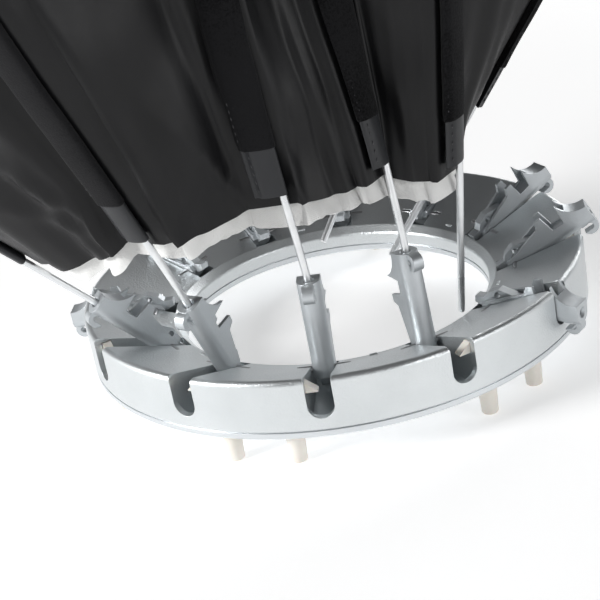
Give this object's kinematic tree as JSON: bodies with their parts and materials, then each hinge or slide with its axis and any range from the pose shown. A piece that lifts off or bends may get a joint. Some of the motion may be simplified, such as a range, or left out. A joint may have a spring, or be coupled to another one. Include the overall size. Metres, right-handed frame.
{
  "type": "softbox",
  "caption": "Deep ribbed softbox part-way through setting up: open speed ring with hinged rod sockets and latches, steel ribs and a black cloth shell with white lining.",
  "frame": {"origin": "on the ring's axis, at the joint line between the ring housing and its base plate, inside the mount bore", "axes": "+Z along the ring's axis towards the cloth and the front of the softbox; +X through slot 6; slots go round counter-clockwise every 30 degrees, slot 1 at -150 degrees"},
  "size_m": [0.607, 0.4768, 0.4509],
  "materials": {
    "cast_alloy": "fine sand-blasted casting",
    "plate_alloy": "satin",
    "plain_steel": "plain",
    "socket_alloy": "sand-blasted die casting",
    "cream_nylon": "moulded",
    "plated_steel": "bright plated",
    "sleeve_fabric": "velvety woven tape",
    "tab_fabric": "smooth coated webbing",
    "black_nylon": "plain-weave nylon",
    "white_lining": "soft white backing",
    "band_fabric": "woven binding"
  },
  "bodies": {
    "ring": {"base_plate": "plate_alloy", "base_screws": "plain_steel", "front_band_moving": "band_fabric", "front_band_still": "band_fabric", "latch_springs": "plain_steel", "lining_moving": "white_lining", "lining_still": "white_lining", "outer_shell_moving": "black_nylon", "outer_shell_still": "black_nylon", "pivot_pins": "plain_steel", "ring_housing": "cast_alloy", "rod_05": "plated_steel", "rod_06": "plated_steel", "rod_07": "plated_steel", "rod_08": "plated_steel", "rod_09": "plated_steel", "rod_10": "plated_steel", "rod_11": "plated_steel", "rod_12": "plated_steel", "sleeves_free": "sleeve_fabric", "tabs_free": "tab_fabric"},
    "latch_body_01": {"latch_01": "cream_nylon"},
    "latch_body_02": {"latch_02": "cream_nylon"},
    "latch_body_03": {"latch_03": "cream_nylon"},
    "latch_body_04": {"latch_04": "cream_nylon"},
    "latch_body_05": {"latch_05": "cream_nylon"},
    "latch_body_06": {"latch_06": "cream_nylon"},
    "latch_body_07": {"latch_07": "cream_nylon"},
    "latch_body_08": {"latch_08": "cream_nylon"},
    "latch_body_09": {"latch_09": "cream_nylon"},
    "latch_body_10": {"latch_10": "cream_nylon"},
    "latch_body_11": {"latch_11": "cream_nylon"},
    "latch_body_12": {"latch_12": "cream_nylon"},
    "socket_body_01": {"rod_01": "plated_steel", "sleeve_01": "sleeve_fabric", "socket_01": "socket_alloy", "tab_01": "tab_fabric"},
    "socket_body_02": {"rod_02": "plated_steel", "sleeve_02": "sleeve_fabric", "socket_02": "socket_alloy", "tab_02": "tab_fabric"},
    "socket_body_03": {"rod_03": "plated_steel", "sleeve_03": "sleeve_fabric", "socket_03": "socket_alloy", "tab_03": "tab_fabric"},
    "socket_body_04": {"rod_04": "plated_steel", "sleeve_04": "sleeve_fabric", "socket_04": "socket_alloy", "tab_04": "tab_fabric"},
    "socket_body_05": {"socket_05": "socket_alloy"},
    "socket_body_06": {"socket_06": "socket_alloy"},
    "socket_body_07": {"socket_07": "socket_alloy"},
    "socket_body_08": {"socket_08": "socket_alloy"},
    "socket_body_09": {"socket_09": "socket_alloy"},
    "socket_body_10": {"socket_10": "socket_alloy"},
    "socket_body_11": {"socket_11": "socket_alloy"},
    "socket_body_12": {"socket_12": "socket_alloy"}
  },
  "joints": [
    {"name": "socket_hinge_01", "type": "hinge", "parent": "ring", "child": "socket_body_01", "pos_m": [-0.07751, -0.04475, 0.012], "axis": [-0.5, 0.866, 0], "range_deg": [-48, 42], "deforming": ["latch_01", "outer_shell_moving", "lining_moving", "front_band_moving"]},
    {"name": "socket_hinge_02", "type": "hinge", "parent": "ring", "child": "socket_body_02", "pos_m": [-0.04475, -0.07751, 0.012], "axis": [-0.866, 0.5, 0], "range_deg": [-67, 23], "deforming": ["latch_02", "outer_shell_moving", "lining_moving", "front_band_moving"]},
    {"name": "socket_hinge_03", "type": "hinge", "parent": "ring", "child": "socket_body_03", "pos_m": [0, -0.0895, 0.012], "axis": [-1, 0, 0], "range_deg": [-88, 2], "deforming": ["latch_03", "outer_shell_moving", "lining_moving", "front_band_moving"]},
    {"name": "socket_hinge_04", "type": "hinge", "parent": "ring", "child": "socket_body_04", "pos_m": [0.04475, -0.07751, 0.012], "axis": [-0.866, -0.5, 0], "range_deg": [-97, 1], "deforming": ["latch_04", "outer_shell_moving", "lining_moving", "front_band_moving"]},
    {"name": "socket_hinge_05", "type": "hinge", "parent": "ring", "child": "socket_body_05", "pos_m": [0.07751, -0.04475, 0.012], "axis": [-0.5, -0.866, 0], "range_deg": [0, 100], "deforming": ["latch_05"]},
    {"name": "socket_hinge_06", "type": "hinge", "parent": "ring", "child": "socket_body_06", "pos_m": [0.0895, 0, 0.012], "axis": [0, -1, 0], "range_deg": [-29, 71], "deforming": ["latch_06"]},
    {"name": "socket_hinge_07", "type": "hinge", "parent": "ring", "child": "socket_body_07", "pos_m": [0.07751, 0.04475, 0.012], "axis": [0.5, -0.866, 0], "range_deg": [-27, 73], "deforming": ["latch_07"]},
    {"name": "socket_hinge_08", "type": "hinge", "parent": "ring", "child": "socket_body_08", "pos_m": [0.04475, 0.07751, 0.012], "axis": [0.866, -0.5, 0], "range_deg": [0, 100], "deforming": ["latch_08"]},
    {"name": "socket_hinge_09", "type": "hinge", "parent": "ring", "child": "socket_body_09", "pos_m": [0, 0.0895, 0.012], "axis": [1, 0, 0], "range_deg": [0, 100], "deforming": ["latch_09"]},
    {"name": "socket_hinge_10", "type": "hinge", "parent": "ring", "child": "socket_body_10", "pos_m": [-0.04475, 0.07751, 0.012], "axis": [0.866, 0.5, 0], "range_deg": [0, 100], "deforming": ["latch_10"]},
    {"name": "socket_hinge_11", "type": "hinge", "parent": "ring", "child": "socket_body_11", "pos_m": [-0.07751, 0.04475, 0.012], "axis": [0.5, 0.866, 0], "range_deg": [0, 100], "deforming": ["latch_11"]},
    {"name": "socket_hinge_12", "type": "hinge", "parent": "ring", "child": "socket_body_12", "pos_m": [-0.0895, 0, 0.012], "axis": [0, 1, 0], "range_deg": [0, 100], "deforming": ["latch_12"]},
    {"name": "latch_slide_01", "type": "slide", "parent": "ring", "child": "latch_body_01", "axis": [-0.5, 0.866, 0], "range_m": [0, 0.0045], "stiffness_N_per_m": 400, "springref_m": -0.003, "deforming": ["latch_springs"]},
    {"name": "latch_slide_02", "type": "slide", "parent": "ring", "child": "latch_body_02", "axis": [0.866, -0.5, 0], "range_m": [0, 0.0045], "stiffness_N_per_m": 400, "springref_m": -0.003, "deforming": ["latch_springs"]},
    {"name": "latch_slide_03", "type": "slide", "parent": "ring", "child": "latch_body_03", "axis": [-1, 0, 0], "range_m": [0, 0.0045], "stiffness_N_per_m": 400, "springref_m": -0.003, "deforming": ["latch_springs"]},
    {"name": "latch_slide_04", "type": "slide", "parent": "ring", "child": "latch_body_04", "axis": [0.866, 0.5, 0], "range_m": [0, 0.0045], "stiffness_N_per_m": 400, "springref_m": -0.003, "deforming": ["latch_springs"]},
    {"name": "latch_slide_05", "type": "slide", "parent": "ring", "child": "latch_body_05", "axis": [-0.5, -0.866, 0], "range_m": [0, 0.0045], "stiffness_N_per_m": 400, "springref_m": -0.003, "deforming": ["latch_springs"]},
    {"name": "latch_slide_06", "type": "slide", "parent": "ring", "child": "latch_body_06", "axis": [0, 1, 0], "range_m": [0, 0.0045], "stiffness_N_per_m": 400, "springref_m": -0.003, "deforming": ["latch_springs"]},
    {"name": "latch_slide_07", "type": "slide", "parent": "ring", "child": "latch_body_07", "axis": [0.5, -0.866, 0], "range_m": [0, 0.0045], "stiffness_N_per_m": 400, "springref_m": -0.003, "deforming": ["latch_springs"]},
    {"name": "latch_slide_08", "type": "slide", "parent": "ring", "child": "latch_body_08", "axis": [-0.866, 0.5, 0], "range_m": [0, 0.0045], "stiffness_N_per_m": 400, "springref_m": -0.003, "deforming": ["latch_springs"]},
    {"name": "latch_slide_09", "type": "slide", "parent": "ring", "child": "latch_body_09", "axis": [1, 0, 0], "range_m": [0, 0.0045], "stiffness_N_per_m": 400, "springref_m": -0.003, "deforming": ["latch_springs"]},
    {"name": "latch_slide_10", "type": "slide", "parent": "ring", "child": "latch_body_10", "axis": [-0.866, -0.5, 0], "range_m": [0, 0.0045], "stiffness_N_per_m": 400, "springref_m": -0.003, "deforming": ["latch_springs"]},
    {"name": "latch_slide_11", "type": "slide", "parent": "ring", "child": "latch_body_11", "axis": [0.5, 0.866, 0], "range_m": [0, 0.0045], "stiffness_N_per_m": 400, "springref_m": -0.003, "deforming": ["latch_springs"]},
    {"name": "latch_slide_12", "type": "slide", "parent": "ring", "child": "latch_body_12", "axis": [0, -1, 0], "range_m": [0, 0.0045], "stiffness_N_per_m": 400, "springref_m": -0.003, "deforming": ["latch_springs"]}
  ]
}
